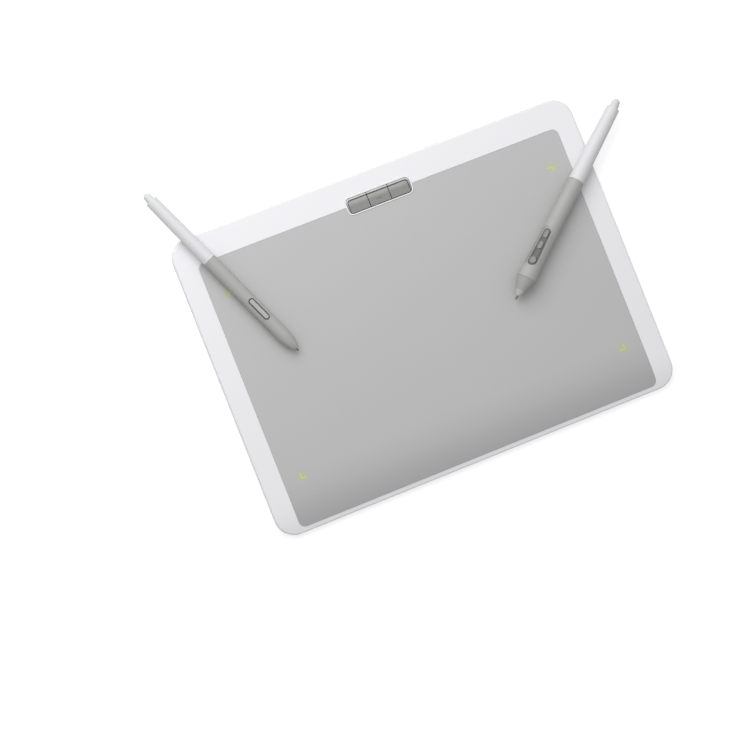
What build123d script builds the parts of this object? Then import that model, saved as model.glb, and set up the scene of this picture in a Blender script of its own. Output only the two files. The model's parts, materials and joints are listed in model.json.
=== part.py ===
from build123d import *
import os
from math import atan, cos, degrees, radians, sin, sqrt

# Graphics tablet with a thin pen and a thick pen lying across it. Millimetres, X to the right,
# Y to the rear edge, Z up, origin at the centre of the tablet on the plane that its feet stand on.

# Tablet body
body_width = 320.0
body_depth = 231.0
body_height = 8.0
corner_radius = 15.0
edge_round = 1.4
belly_round = 1.8
side_wall = 1.6
roof_thickness = 1.5
floor_thickness = 1.2
foot_height = 0.8
split_height = 3.4
seam_chamfer = 0.25
front_slope_length = 22.0
front_slope_drop = 3.0
round_share = 0.85

# Clearances
fit = 0.1
glue_fit = 0.05
running_gap = 0.3
key_stop_gap = 0.1

# Lip that locates the lower shell in the upper one
lip_thickness = 1.0
lip_height = 1.0

# Drawing surface, a sheet let into the top
sheet_thickness = 0.5
sheet_side_margin = 16.0
sheet_rear_margin = 21.4
sheet_front_margin = 3.6
sheet_corner = 5.0
sheet_gap = 0.2

# Active area and its corner lights
active_side_margin = 28.8
active_rear_margin = 46.7
active_front_margin = 36.7
mark_arm = 5.2
mark_width = 1.6
light_depth = 1.6
led_board_size = 9.0
led_length = 2.0
led_width = 1.2
led_height = 0.5
led_inset = 2.2
led_post_radius = 2.5

# Digitiser board and its shield
sensor_margin = 2.6
sensor_thickness = 0.8
shield_inset = 0.5
shield_thickness = 0.3

# Circuit boards
board_thickness = 0.8
standoff_height = 1.0
standoff_radius = 1.8
standoff_side_inset = 12.0
standoff_edge_inset = 4.0

# Express keys in their raised rim
keys_rear_margin = 21.35
bezel_length = 52.6
bezel_depth = 14.2
bezel_corner = 4.4
bezel_rim = 1.0
bezel_rise = 0.5
bezel_round = 0.35
key_drop = 0.2
key_round = 0.3
key_front_round = 0.8
key_gap = 0.55
middle_key_width = 16.2
key_travel = 0.4
key_flange = 0.6
key_flange_thickness = 0.5
key_wall = 1.2
key_post_radius = 2.0
key_roof = 1.0
key_frame_thickness = 0.6
key_frame_border = 4.6
key_frame_wall = 1.5
key_dish_rear = 1.55
key_dish_side = 1.2
key_dish_depth = 0.9
key_dish_corner = 2.0
key_bar_length = 4.6
key_bar_width = 0.7
key_bar_rise = 0.2
key_bar_forward = 1.2
dome_size = 5.0
dome_plunger_radius = 1.2
dome_plunger_height = 0.3

# Power slider and its switch
slider_inset = 18.9
slider_length = 11.7
slider_height = 1.7
slider_reach = 0.6
slider_travel = 2.6
slider_flange = 1.8
slider_flange_thickness = 0.8
slider_flange_rise = 0.35
slider_tongue_length = 1.6
slider_tongue_height = 0.8
slider_grooves = 5
slider_groove_width = 0.6
slider_groove_depth = 0.25
slider_groove_pitch = 1.5
switch_length = 8.0
switch_depth = 4.0
switch_groove = 1.6

# USB-C inlet
usb_inset = 1.5
usb_width = 8.94
usb_height = 3.16
usb_depth = 7.6
usb_shell = 0.3
usb_setback = 0.3
usb_back = 1.0
usb_tongue_width = 6.7
usb_tongue_height = 0.7
usb_tab_width = 1.2
usb_tab_length = 3.0

# Controller board
main_board_key_gap = 1.6
main_board_boss_gap = 20.0
main_board_depth = 33.0
main_board_setback = 1.9
chip_thickness = 1.1
chip_setback = 18.0
processor_size = 9.0
processor_inset = 14.0
charger_size = 4.0
charger_inset = 27.5
inductor_size = 5.0
inductor_inset = 26.5
radio_length = 10.0
radio_depth = 12.0
radio_inset = 13.5
flat_plug_depth = 3.0
antenna_length = 18.0
antenna_width = 4.0
antenna_thickness = 0.3
antenna_rise = 1.4

# Battery
battery_boss_gap = 15.5
battery_key_gap = 16.1
battery_edge_gap = 4.25
battery_thickness = 3.0
battery_corner = 2.0
battery_pad_thickness = 0.3
battery_pad_width = 6.0

# Flat cables
ribbon_thickness = 0.2
ribbon_width = 18.0
ribbon_lap = 6.0
ribbon_sweep = 3.0
ribbon_room = 1.0
jumper_width = 8.0

# Ribs on the floor under the digitiser
rib_height = 0.8
rib_width = 1.0
rib_columns = 7
rib_rows = 5
rib_side_overhang = 6.8
rib_edge_overhang = 1.2

# Rubber feet and the screws that they hide
foot_length = 34.0
foot_width = 9.0
foot_side_inset = 28.0
foot_edge_inset = 13.5
foot_recess = 0.4
foot_round = 0.3
screw_radius = 1.0
screw_head_radius = 1.9
screw_head_height = 0.7
screw_recess_length = 2.2
screw_recess_width = 0.5
screw_recess_depth = 0.35
screw_shoulder = 0.8
screw_tip_gap = 0.4
boss_wall = 1.6
boss_rise = 1.0

# Thin pen, measured along its axis from the nib's tip
thin_length = 159.0
thin_seam = 92.25
thin_eraser_out = 6.6
thin_tray_gap = 8.7
thin_nib_out = 2.0
thin_nib_radius = 0.65
thin_mouth_radius = 1.3
thin_nose_length = 15.8
thin_nose_lead = 1.2
thin_nose_blunt = 1.9
thin_nose_full = 7.5
thin_grip_radius = 5.12
thin_seam_radius = 5.18
thin_end_radius = 4.65
thin_wall = 0.7
thin_nose_floor_radius = 2.7
thin_eraser_radius = 3.3
thin_eraser_tip_radius = 2.9
thin_rocker_at = 41.7
thin_slot_length = 20.2
thin_slot_width = 4.9
thin_rocker_length = 18.2
thin_rocker_width = 3.1
thin_rocker_proud = 0.15
thin_rocker_sink = 0.45
thin_rocker_depth = 2.7
thin_pivot_radius = 0.5
thin_pivot_fit = 0.03
thin_pivot_depth = 1.9
thin_rocker_angle = 1.5

# Thick pen, measured along its axis from the nib's tip
thick_length = 170.9
thick_seam = 100.5
thick_eraser_out = 7.6
thick_tray_gap = 10.8
thick_nib_out = 3.0
thick_nib_radius = 0.75
thick_mouth_radius = 1.3
thick_sleeve_end = 7.2
thick_sleeve_radius = 3.75
thick_cone_end = 17.1
thick_cone_radius = 7.1
thick_cone_bulge = 0.3
thick_grip_radius = 7.35
thick_rim_length = 1.0
thick_rim_drop = 0.25
thick_flare_length = 31.4
thick_flare_radius = 6.4
thick_flare_lead = 8.0
thick_flare_fall = 0.52
thick_flare_tail = 16.0
thick_seam_radius = 6.1
thick_end_radius = 5.0
thick_wall = 0.8
thick_nose_floor_radius = 3.0
thick_eraser_radius = 3.6
thick_eraser_tip_radius = 3.1
thick_inlay_front = 30.55
thick_inlay_rear = 54.8
thick_inlay_front_radius = 3.65
thick_inlay_rear_radius = 3.0
thick_inlay_sink = 0.35
thick_dish_border = 1.7
thick_dish_depth = 0.35
thick_button_length = 6.1
thick_button_width = 3.6
thick_button_corner = 1.6
thick_front_button_size = 5.4
thick_button_front_at = 31.2
thick_button_middle_at = 43.7
thick_button_rear_at = 53.0
thick_button_proud = 0.25
thick_button_rim = 0.6
thick_button_dish = 0.2
thick_button_flange = 0.45
thick_button_flange_thickness = 0.7
thick_button_travel = 0.35

# Parts that both pens hold
nose_bore_length = 5.8
nib_inner_length = 22.0
nib_travel = 0.4
eraser_travel = 0.4
eraser_wall = 3.0
eraser_flange = 0.45
eraser_flange_length = 1.4
barrel_chamfer = 0.3
seam_groove = 0.12
ferrite_length = 12.0
ferrite_wall = 1.0
winding_inset = 2.0
winding_thickness = 0.6
press_gap = 0.1
pressure_sensor_length = 5.0
tray_wall = 0.8
collar_half = 5.0
pen_board_deck = 0.9
pen_board_rim = 0.5
pen_switch_size = 3.0
pen_switch_spacing = 12.0
eraser_sensor_length = 16.0

# How the pens lie: the nib's place, the way to the butt and the turn about the axis
pen_rest_gap = 0.2
thin_tip_side_inset = 61.3
thin_tip_rear_inset = 106.4
thin_heading = 113.2
thin_roll = 2.3
thick_tip_side_inset = 94.75
thick_tip_rear_inset = 129.7
thick_heading = 40.7
thick_roll = -28.7

# Levels and lines that follow from the sizes above
half_width = body_width / 2
half_depth = body_depth / 2
floor_top = foot_height + floor_thickness
roof_under = body_height - roof_thickness
rear_inside = half_depth - side_wall
board_bottom = floor_top + standoff_height
board_top = board_bottom + board_thickness
active_width = body_width - 2 * active_side_margin
active_depth = body_depth - active_rear_margin - active_front_margin
active_y = half_depth - active_rear_margin - active_depth / 2
digitiser_rear = active_y + active_depth / 2 + sensor_margin
sensor_bottom = roof_under - sensor_thickness
light_bottom = roof_under - light_depth
led_board_top = light_bottom - fit - led_height
key_y = half_depth - keys_rear_margin
key_frame_bottom = roof_under - key_frame_thickness
key_flange_top = key_frame_bottom - key_stop_gap
key_bottom = key_flange_top - key_flange_thickness
key_top = body_height + bezel_rise - key_drop
keys_length = bezel_length - 2 * (bezel_rim + running_gap)
keys_depth = bezel_depth - 2 * (bezel_rim + running_gap)
slider_z = (split_height + body_height - edge_round) / 2
usb_z = (floor_top + roof_under) / 2
boss_meet = floor_top + boss_rise
screw_seat = boss_meet - screw_shoulder
boss_inside = half_width - foot_side_inset - screw_head_radius - boss_wall
key_board_length = bezel_length + 2 * key_frame_border
key_board_depth = bezel_depth + 2 * key_frame_border
main_board_left = key_board_length / 2 + main_board_key_gap
main_board_right = boss_inside - main_board_boss_gap
main_board_width = main_board_right - main_board_left
main_board_x = (main_board_left + main_board_right) / 2
main_board_front = rear_inside - main_board_setback - main_board_depth
main_board_y = main_board_front + main_board_depth / 2
battery_left = battery_boss_gap - boss_inside
battery_right = -key_board_length / 2 - battery_key_gap
battery_x = (battery_left + battery_right) / 2
battery_y = (rear_inside + digitiser_rear) / 2
battery_length = battery_right - battery_left
battery_width = rear_inside - digitiser_rear - 2 * battery_edge_gap
usb_x = main_board_left + usb_inset
slider_x = main_board_left + slider_inset
thin_end = thin_length - thin_eraser_out
thin_tray_end = thin_end - thin_tray_gap
thick_end = thick_length - thick_eraser_out
thick_tray_end = thick_end - thick_tray_gap
thin_tip_x = thin_tip_side_inset - half_width
thin_tip_y = half_depth - thin_tip_rear_inset
thick_tip_x = half_width - thick_tip_side_inset
thick_tip_y = half_depth - thick_tip_rear_inset


# Common shapes

def block(length, depth, bottom, top, x=0.0, y=0.0, corner=0.0):
    """Upright block with rounded corners, centred on x and y."""
    outline = RectangleRounded(length, depth, corner) if corner else Rectangle(length, depth)
    return Pos(x, y, bottom) * extrude(outline, amount=top - bottom)


def post(radius, bottom, top, x, y):
    """Upright round post."""
    return Pos(x, y, bottom) * extrude(Circle(radius), amount=top - bottom)


def four_corners(across, along, y=0.0):
    """The four points that lie across and along from a centre line at y."""
    return [(sx * across, y + sy * along) for sx in (-1, 1) for sy in (-1, 1)]


def slope_fall(along):
    """How far the front slope has come down at a distance from its crest."""
    radius = (front_slope_length ** 2 + front_slope_drop ** 2) / (2 * front_slope_drop)
    return radius - sqrt(radius ** 2 - along ** 2)


def side_profile(lowered, bottom):
    """The tablet's side outline, run on past both edges: flat, then curving down at the front."""
    top = body_height - lowered
    reach = half_depth + side_wall
    crest = (front_slope_length - half_depth, top)
    toe = (-reach, top - slope_fall(front_slope_length + side_wall))
    return make_face([
        Line((-reach, bottom), (reach, bottom)),
        Line((reach, bottom), (reach, top)),
        Line((reach, top), crest),
        TangentArc(crest, toe, tangent=(-1, 0)),
        Line(toe, (-reach, bottom)),
    ])


def slab(inset, lowered, bottom):
    """The whole body's form, drawn in by inset and lowered under the top face."""
    side = extrude(Plane.YZ * side_profile(lowered, bottom), amount=half_width + side_wall, both=True)
    length = body_width - 2 * inset
    depth = body_depth - 2 * inset
    return side & block(length, depth, bottom, body_height, corner=corner_radius - inset)


def foot_points():
    """Middle of each foot and of the screw that it hides."""
    return four_corners(half_width - foot_side_inset, half_depth - foot_edge_inset)


# Corner lights

def mark_outline(grow):
    """L-shaped mark for the right rear corner, its outer point at the origin."""
    arm = mark_arm + 2 * grow
    width = mark_width + 2 * grow
    flat = Rectangle(arm, width, align=(Align.MAX, Align.MAX))
    upright = Rectangle(width, arm, align=(Align.MAX, Align.MAX))
    return Pos(grow, grow) * (flat + upright)


def four_marks(grow, bottom, top):
    """The mark stood up as a solid at each corner of the active area."""
    upright = extrude(mark_outline(grow), amount=top - bottom)
    corner = Pos(active_width / 2, active_depth / 2, bottom) * upright
    pair = [corner, mirror(corner, about=Plane.YZ)]
    marks = pair + [mirror(mark, about=Plane.XZ) for mark in pair]
    return [Pos(0, active_y, 0) * mark for mark in marks]


def cut_all(body, tools):
    """The body with each tool taken out of it."""
    for tool in tools:
        body = body - tool
    return body


def corner_light_guides():
    return Compound(children=four_marks(0.0, light_bottom, body_height))


def corner_led_boards():
    """A small board under each mark, with its light."""
    boards = []
    inset = mark_arm / 2
    for x, y in four_corners(active_width / 2 - inset, active_depth / 2 - inset, active_y):
        board = block(led_board_size, led_board_size, led_board_top - board_thickness, led_board_top, x, y)
        toward_x = 1 if x > 0 else -1
        toward_y = 1 if y > active_y else -1
        led_x = x + toward_x * (inset - led_inset)
        led_y = y + toward_y * (inset - mark_width / 2)
        light_top = led_board_top + led_height
        boards.append(board + block(led_length, led_width, led_board_top, light_top, led_x, led_y))
    return Compound(children=boards)


# Tablet shells

def rounded_rim(body, bottom):
    """The body with the rim of its top face rounded."""
    front_wall = body_height - front_slope_drop - bottom
    rim = [
        edge for edge in body.edges()
        if edge.bounding_box().min.Z > bottom + edge_round / 2
        and abs(edge.center().X) + abs(edge.center().Y) > half_depth - corner_radius / 2
    ]
    return fillet(rim, min(edge_round, front_wall * round_share))


def sheet_outline(grow, bottom):
    """Upright block on the drawing surface's outline."""
    length = body_width - 2 * (sheet_side_margin - grow)
    depth = body_depth - sheet_rear_margin - sheet_front_margin + 2 * grow
    y = (sheet_front_margin - sheet_rear_margin) / 2
    return block(length, depth, bottom, body_height, y=y, corner=sheet_corner + grow)


def bezel_outline(grow, bottom, top):
    """Upright block on the key rim's outer outline."""
    length = bezel_length + 2 * grow
    depth = bezel_depth + 2 * grow
    return block(length, depth, bottom, top, y=key_y, corner=bezel_corner + grow)


def usb_opening():
    """Way for the plug through the rear wall."""
    outline = SlotOverall(usb_width + 2 * fit, usb_height + 2 * fit)
    start = Plane(origin=(usb_x, half_depth + side_wall, usb_z), x_dir=(1, 0, 0), z_dir=(0, -1, 0))
    return extrude(start * outline, amount=3 * side_wall + lip_thickness)


def slider_opening():
    """Slot for the power slider through the rear wall."""
    length = slider_length + slider_travel + 2 * fit
    height = slider_height + 2 * fit
    x = slider_x + slider_travel / 2
    return Pos(x, half_depth, slider_z) * Box(length, 2 * side_wall + fit, height)


def top_cover():
    """White upper shell."""
    shell = rounded_rim(slab(0.0, 0.0, split_height), split_height)
    shell -= slab(side_wall, roof_thickness, split_height)
    for x, y in foot_points():
        boss = post(screw_radius + boss_wall, boss_meet, roof_under, x, y)
        shell += boss - post(screw_radius + glue_fit / 2, boss_meet, roof_under - screw_tip_gap, x, y)
    shell -= sheet_outline(sheet_gap, split_height) - slab(0.0, sheet_thickness, split_height)
    shell -= bezel_outline(glue_fit, split_height, body_height)
    shell = cut_all(shell, four_marks(fit, split_height, body_height))
    return shell - usb_opening() - slider_opening()


def drawing_surface():
    """Textured sheet that follows the top face and its front slope."""
    sheet = sheet_outline(0.0, split_height) & slab(0.0, 0.0, split_height)
    sheet -= slab(0.0, sheet_thickness, split_height)
    sheet -= bezel_outline(fit, split_height, body_height)
    return cut_all(sheet, four_marks(glue_fit, split_height, body_height))


def locating_lip():
    """Ring on the lower shell that sits inside the upper one."""
    inset = side_wall + fit
    depth_room = roof_thickness + running_gap
    below_lip = block(body_width, body_depth, floor_top, split_height + lip_height)
    ring = slab(inset, depth_room, floor_top) & below_lip
    ring -= block(
        body_width - 2 * (inset + lip_thickness), body_depth - 2 * (inset + lip_thickness),
        floor_top, body_height, corner=corner_radius - inset - lip_thickness)
    room = slider_length + slider_travel + 2 * (slider_flange + running_gap)
    x = slider_x + slider_travel / 2
    return ring - block(room, 4 * side_wall, split_height, body_height, x, half_depth)


def floor_ribs():
    """Low ribs under the digitiser, both ways."""
    ribs = []
    width = active_width + 2 * rib_side_overhang
    depth = active_depth + 2 * rib_edge_overhang
    top = floor_top + rib_height
    for i in range(rib_columns):
        x = (i / (rib_columns - 1) - 0.5) * width
        ribs.append(block(rib_width, depth, floor_top, top, x, active_y))
    for i in range(rib_rows):
        y = active_y + (i / (rib_rows - 1) - 0.5) * depth
        ribs.append(block(width, rib_width, floor_top, top, 0.0, y))
    return ribs


def foot_block(bottom, top, x, y, grow=0.0):
    """Upright block on a foot's outline."""
    outline = SlotOverall(foot_length + 2 * grow, foot_width + 2 * grow)
    return Pos(x, y, bottom) * extrude(outline, amount=top - bottom)


def standoff_points():
    """Where the controller board and the key board stand."""
    reach = main_board_width / 2 - standoff_side_inset
    depth = main_board_depth / 2 - standoff_edge_inset
    under_main = [(main_board_x + x, y) for x, y in four_corners(reach, depth, main_board_y)]
    return under_main + four_corners(bezel_length / 2, bezel_depth / 2, key_y)


def bottom_cover():
    """White lower tray with its lip, ribs, posts and screw seats."""
    tray = block(body_width, body_depth, foot_height, split_height, corner=corner_radius)
    belly = min(belly_round, (split_height - foot_height) * round_share)
    tray = fillet(tray.edges().group_by(Axis.Z)[0], belly)
    tray = chamfer(tray.edges().group_by(Axis.Z)[-1], seam_chamfer)
    tray -= block(
        body_width - 2 * side_wall, body_depth - 2 * side_wall, floor_top, split_height,
        corner=corner_radius - side_wall)
    tray += locating_lip()
    for rib in floor_ribs():
        tray += rib
    for x, y in standoff_points():
        tray += post(standoff_radius, floor_top, board_bottom, x, y)
    led_reach = (active_width - mark_arm) / 2
    for x, y in four_corners(led_reach, (active_depth - mark_arm) / 2, active_y):
        tray += post(led_post_radius, floor_top, led_board_top - board_thickness, x, y)
    for x, y in foot_points():
        tray += post(screw_head_radius + boss_wall, floor_top, boss_meet, x, y)
    for x, y in foot_points():
        tray -= foot_block(foot_height, foot_height + foot_recess, x, y, fit)
        tray -= post(screw_head_radius + fit, foot_height, screw_seat, x, y)
        tray -= post(screw_radius + fit, screw_seat, boss_meet, x, y)
    return tray - usb_opening() - slider_opening()


def rubber_feet():
    """Four pads let into the underside."""
    feet = []
    for x, y in foot_points():
        pad = foot_block(0.0, foot_height + foot_recess, x, y)
        feet.append(chamfer(pad.edges().group_by(Axis.Z)[0], foot_round))
    return Compound(children=feet)


def case_screws():
    """Four cross-head screws from the underside into the upper shell's bosses."""
    screws = []
    face = screw_seat - screw_head_height
    deep = face + screw_recess_depth
    for x, y in foot_points():
        screw = post(screw_head_radius, face, screw_seat, x, y)
        screw += post(screw_radius, screw_seat, roof_under - 2 * screw_tip_gap, x, y)
        screw -= block(screw_recess_length, screw_recess_width, face, deep, x, y)
        screw -= block(screw_recess_width, screw_recess_length, face, deep, x, y)
        screws.append(screw)
    return Compound(children=screws)


# Boards, battery and cables inside the tablet

def sensor_board():
    board = block(
        active_width + 2 * sensor_margin, active_depth + 2 * sensor_margin, sensor_bottom, roof_under,
        y=active_y)
    return cut_all(board, four_marks(fit, sensor_bottom, roof_under))


def shield_plate():
    """Thin metal sheet under the digitiser, notched for the flat cable."""
    border = sensor_margin - shield_inset
    plate = block(
        active_width + 2 * border, active_depth + 2 * border,
        sensor_bottom - shield_thickness, sensor_bottom, y=active_y)
    notch_width = ribbon_width + 2 * ribbon_room
    notch_depth = 2 * (ribbon_lap + ribbon_room)
    plate -= block(notch_width, notch_depth, 0, body_height, main_board_x, digitiser_rear)
    return cut_all(plate, four_marks(fit, 0, body_height))


def main_board():
    """Controller board, cut out round the inlet."""
    board = block(
        main_board_width, main_board_depth, board_bottom, board_top, main_board_x, main_board_y)
    return board - Pos(usb_x, half_depth, usb_z) * Box(
        usb_width + 2 * fit, 2 * (usb_setback + usb_depth + fit), body_height)


def board_chips():
    """The controller board's larger parts: plug for the flat cable, processor, radio and charger."""
    row = rear_inside - main_board_setback - chip_setback
    plug_length = ribbon_width + 2 * flat_plug_depth
    plug_y = main_board_front + ribbon_lap + flat_plug_depth / 2
    chips = [
        (plug_length, flat_plug_depth, main_board_x, plug_y),
        (processor_size, processor_size, main_board_left + processor_inset, row),
        (charger_size, charger_size, main_board_left + charger_inset, row),
        (inductor_size, inductor_size, main_board_right - inductor_inset, row),
        (radio_length, radio_depth, main_board_right - radio_inset, row),
    ]
    return Compound(children=[
        block(length, depth, board_top, board_top + chip_thickness, x, y) for length, depth, x, y in chips
    ])


def wireless_antenna():
    """Bent strip on two legs at the controller board's right end."""
    x = main_board_right - antenna_width
    plate_bottom = board_top + antenna_rise
    plate_top = plate_bottom + antenna_thickness
    strip = block(antenna_width, antenna_length, plate_bottom, plate_top, x, main_board_y)
    for side in (-1, 1):
        leg_y = main_board_y + side * (antenna_length - antenna_thickness) / 2
        strip += block(antenna_width / 2, antenna_thickness, board_top, plate_bottom, x, leg_y)
    return strip


def battery():
    bottom = floor_top + battery_pad_thickness
    top = bottom + battery_thickness
    return block(battery_length, battery_width, bottom, top, battery_x, battery_y, battery_corner)


def battery_pads():
    """Two foam strips that hold the battery to the floor."""
    reach = battery_length / 2 - battery_pad_width
    length = battery_width - battery_pad_width
    top = floor_top + battery_pad_thickness
    return Compound(children=[
        block(battery_pad_width, length, floor_top, top, battery_x + side * reach, battery_y)
        for side in (-1, 1)
    ])


def ribbon_cables():
    """Flat cable from the digitiser to the controller board, and a jumper from the key board."""
    upper = sensor_bottom - ribbon_thickness
    start = (digitiser_rear - ribbon_lap, upper)
    drop = (digitiser_rear + fit, upper)
    touch = (main_board_front, board_top)
    end = (main_board_front + ribbon_lap, board_top)
    lower = [
        Line(start, drop),
        Bezier(drop, (drop[0] + ribbon_sweep, upper), (touch[0] - ribbon_sweep, board_top), touch),
        Line(touch, end),
    ]
    lifted = [Pos(0, ribbon_thickness) * edge for edge in lower]
    ends = [Line(p, (p[0], p[1] + ribbon_thickness)) for p in (start, end)]
    side = Plane.YZ * make_face(lower + lifted + ends)
    flat = Pos(main_board_x, 0, 0) * extrude(side, amount=ribbon_width / 2, both=True)
    jumper_left = key_board_length / 2 - jumper_width / 2
    jumper_right = main_board_left + jumper_width / 2
    jumper = block(
        jumper_right - jumper_left, jumper_width, board_top, board_top + ribbon_thickness,
        (jumper_left + jumper_right) / 2, key_y)
    return Compound(children=[flat, jumper])


# Express keys

def key_board():
    return block(key_board_length, key_board_depth, board_bottom, board_top, y=key_y)


def key_frame():
    """Frame that keeps the keys in, with end walls that stand on the key board."""
    frame = block(key_board_length, key_board_depth, key_frame_bottom, roof_under, y=key_y)
    frame -= bezel_outline(-bezel_rim, key_frame_bottom, roof_under)
    for side in (-1, 1):
        y = key_y + side * (key_board_depth - key_frame_wall) / 2
        frame += block(key_board_length, key_frame_wall, board_top, key_frame_bottom, 0.0, y)
    return frame


def key_bezel():
    """Raised rim round the keys, let into the upper shell."""
    ring = bezel_outline(0.0, roof_under, body_height + bezel_rise)
    ring = fillet(ring.edges().group_by(Axis.Z)[-1], bezel_round)
    return ring - bezel_outline(-bezel_rim, roof_under, body_height + bezel_rise)


def key_dish(lift):
    """Wedge over the keys' finger dish, deepest at the rear and running out at the front."""
    rear = key_y + keys_depth / 2 - key_dish_rear
    front = key_y - keys_depth / 2
    high = key_top + key_dish_depth + lift
    low = key_top - key_dish_depth + lift
    corners = [(rear, low), (front, key_top + lift), (front, high), (rear, high)]
    side = make_face(Polyline(*corners, close=True))
    wedge = extrude(Plane.YZ * side, amount=keys_length, both=True)
    length = keys_length - 2 * key_dish_side
    depth = 2 * (rear - front)
    return wedge & block(length, depth, key_bottom, high, 0.0, front, key_dish_corner)


def key_roll_off():
    """What the keys' rounded front edge leaves out."""
    front = key_y - keys_depth / 2
    low = key_top - key_front_round
    edge = block(2 * keys_length, key_front_round, low, key_top, y=front + key_front_round / 2)
    turn = Pos(0, front + key_front_round, low) * Rot(0, 90, 0) * Cylinder(key_front_round, 3 * keys_length)
    return edge - turn


def key_bank():
    """The three keys as one piece, before the gaps between them."""
    inside_corner = bezel_corner - bezel_rim
    bank = block(
        keys_length, keys_depth, key_bottom, key_top, y=key_y, corner=inside_corner - running_gap)
    bank = fillet(bank.edges().group_by(Axis.Z)[-1], key_round) - key_roll_off()
    grip = key_flange + running_gap
    bank += block(
        keys_length + 2 * grip, keys_depth + 2 * grip, key_bottom, key_flange_top, y=key_y,
        corner=inside_corner)
    bank -= key_dish(0.0)
    bar = block(key_bar_length, key_bar_width, key_bottom, key_top, y=key_y - key_bar_forward)
    return bank + (bar - key_dish(key_bar_rise))


def express_key(left, right):
    """One key of the bank, hollow below with a post for its dome."""
    middle = (left + right) / 2
    key = key_bank() & block(right - left, 2 * bezel_depth, 0.0, 2 * body_height, middle, key_y)
    inside_left = max(left, -keys_length / 2) + key_wall
    inside_right = min(right, keys_length / 2) - key_wall
    ceiling = key_top - key_dish_depth - key_roof
    room = block(
        inside_right - inside_left, keys_depth - 2 * key_wall, key_bottom, ceiling,
        (inside_left + inside_right) / 2, key_y)
    return key - (room - post(key_post_radius, key_bottom, key_top, key_centre(left, right), key_y))


def key_centre(left, right):
    """Middle of a key's cap on X."""
    return (max(left, -keys_length / 2) + min(right, keys_length / 2)) / 2


def key_spans():
    """Left and right limits of each key, from the left."""
    inner = middle_key_width / 2
    outer = bezel_length
    return {
        "left": (-outer, -inner - key_gap),
        "middle": (-inner, inner),
        "right": (inner + key_gap, outer),
    }


def key_switches():
    """A dome switch under each key's post."""
    top = key_bottom - key_travel - key_stop_gap
    switches = []
    for left, right in key_spans().values():
        x = key_centre(left, right)
        body = block(dome_size, dome_size, board_top, top - dome_plunger_height, x, key_y)
        switches.append(body + post(dome_plunger_radius, top - dome_plunger_height, top, x, key_y))
    return Compound(children=switches)


# Power slider, its switch and the inlet on the rear edge

def power_slider():
    """Slider with its knob outside the wall, a flange inside and a tongue in the switch."""
    outside = half_depth + slider_reach
    knob_depth = outside - rear_inside + running_gap
    knob = Pos(slider_x, outside - knob_depth / 2, slider_z) * Box(slider_length, knob_depth, slider_height)
    knob = chamfer(knob.faces().sort_by(Axis.Y)[-1].edges(), slider_reach / 2)
    groove = Box(slider_groove_width, 2 * slider_groove_depth, 2 * slider_height)
    for i in range(slider_grooves):
        x = slider_x + (i - (slider_grooves - 1) / 2) * slider_groove_pitch
        knob -= Pos(x, outside, slider_z) * groove
    flange_rear = rear_inside - fit
    flange_height = slider_height + 2 * (fit + slider_flange_rise)
    flange = Pos(slider_x, flange_rear - slider_flange_thickness / 2, slider_z) * Box(
        slider_length + 2 * slider_flange, slider_flange_thickness, flange_height)
    tongue = Pos(slider_x, flange_rear - slider_flange_thickness - switch_groove / 2, slider_z) * Box(
        slider_tongue_length, switch_groove, slider_tongue_height)
    return knob + flange + tongue


def power_switch():
    """Slide switch on the board, grooved for the slider's tongue."""
    rear = rear_inside - fit - slider_flange_thickness - running_gap
    x = slider_x + slider_travel / 2
    top = slider_z + slider_tongue_height / 2 + running_gap + board_thickness / 2
    body = block(switch_length, switch_depth, board_top, top, x, rear - switch_depth / 2)
    groove_length = slider_tongue_length + slider_travel + 2 * running_gap
    return body - Pos(x, rear, slider_z) * Box(
        groove_length, 2 * switch_groove, slider_tongue_height + 2 * fit)


def usb_c_port():
    """Inlet's metal shell with its tongue, and tabs that sit on the board."""
    mouth = half_depth - usb_setback
    start = Plane(origin=(usb_x, mouth, usb_z), x_dir=(1, 0, 0), z_dir=(0, -1, 0))
    shell = extrude(start * SlotOverall(usb_width, usb_height), amount=usb_depth)
    inner = SlotOverall(usb_width - 2 * usb_shell, usb_height - 2 * usb_shell)
    shell -= extrude(start * inner, amount=usb_depth - usb_back)
    shell += Pos(usb_x, mouth - usb_depth / 2 - usb_back, usb_z) * Box(
        usb_tongue_width, usb_depth - 2 * usb_back, usb_tongue_height)
    for side in (-1, 1):
        x = usb_x + side * (usb_width + usb_tab_width) / 2
        y = rear_inside - main_board_setback - usb_tab_length / 2
        shell += block(2 * usb_tab_width, usb_tab_length, board_top, board_top + usb_shell, x, y)
    return shell


# Shapes shared by the pens, drawn along X from the nib's tip to the butt

def turned(outer, inner):
    """Ring of revolution about X between two lines drawn from tip to butt."""
    start = Line(inner[0] @ 0, outer[0] @ 0)
    end = Line(outer[-1] @ 1, inner[-1] @ 1)
    return revolve(make_face([start, *outer, end, *inner]), Axis.X)


def path(*points):
    """Straight lines through the points, as a list of edges."""
    return list(Polyline(*points).edges()) if len(points) > 2 else [Line(*points)]


def tube(start, end, outer, inner):
    """Straight tube about X."""
    return turned(path((start, outer), (end, outer)), path((start, inner), (end, inner)))


def rod(start, end, radius):
    """Solid round bar along X."""
    outline = Polyline((start, 0), (start, radius), (end, radius), (end, 0), close=True)
    return revolve(make_face(outline), Axis.X)


def pen_nib(radius):
    """Nib with a round tip and its shaft inside the pen."""
    tip = CenterArc((radius, 0), radius, 90, 90)
    sides = Polyline((radius, radius), (nib_inner_length, radius), (nib_inner_length, 0), (0, 0))
    return revolve(make_face([tip, *sides.edges()]), Axis.X)


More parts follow.
